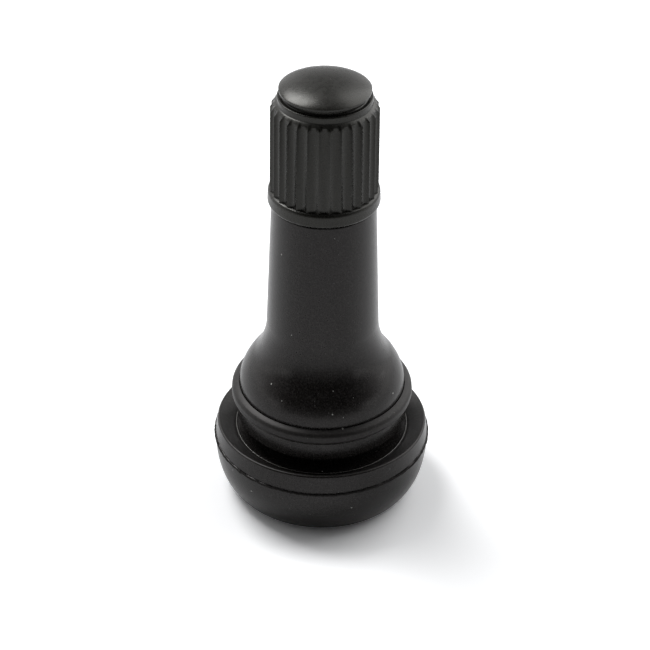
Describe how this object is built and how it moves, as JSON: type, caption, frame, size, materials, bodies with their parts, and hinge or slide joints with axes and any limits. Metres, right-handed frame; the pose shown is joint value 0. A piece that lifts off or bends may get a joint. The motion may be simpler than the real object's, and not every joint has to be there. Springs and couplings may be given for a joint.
{
  "type": "tyre valve",
  "caption": "Snap-in tyre valve: rubber body with bowl base, rim groove and bulb moulded on a brass stem, fluted screw-on dust cap, sprung core inside.",
  "frame": {"origin": "centre of the flat underside of the rubber base", "axes": "+Z along the valve's axis, from the base to the cap"},
  "size_m": [0.0202, 0.0202, 0.0423],
  "materials": {
    "black_rubber": "satin moulded rubber with dust",
    "stem_brass": "turned brass",
    "cap_plastic": "moulded plastic, semi-gloss dome",
    "seal_rubber": "matte",
    "core_brass": "turned brass",
    "gasket_polymer": "matte red",
    "pin_steel": "plated wire"
  },
  "bodies": {
    "valve_body": {"rubber_body": "black_rubber", "brass_stem": "stem_brass", "core_plug": "core_brass", "core_barrel": "core_brass", "barrel_gasket": "gasket_polymer", "core_spring": "pin_steel"},
    "seal": {"cap_seal": "seal_rubber"},
    "cap": {"valve_cap": "cap_plastic"},
    "pin": {"core_pin": "pin_steel", "poppet_cup": "core_brass", "seat_washer": "seal_rubber"}
  },
  "joints": [
    {"name": "cap_lift", "type": "slide", "parent": "valve_body", "child": "seal", "axis": [0, 0, 1], "range_m": [0, 0.00714]},
    {"name": "cap_turn", "type": "hinge", "parent": "seal", "child": "cap", "pos_m": [0, 0, 0.0355], "axis": [0, 0, 1], "range_deg": [0, 3260]},
    {"name": "pin_press", "type": "slide", "parent": "valve_body", "child": "pin", "axis": [0, 0, -1], "range_m": [0, 0.0012], "stiffness_N_per_m": 600, "deforming": ["core_spring"]}
  ],
  "couplings": [
    {"joint": "cap_turn", "follows": "cap_lift", "rad_per_m": 7915.8}
  ]
}
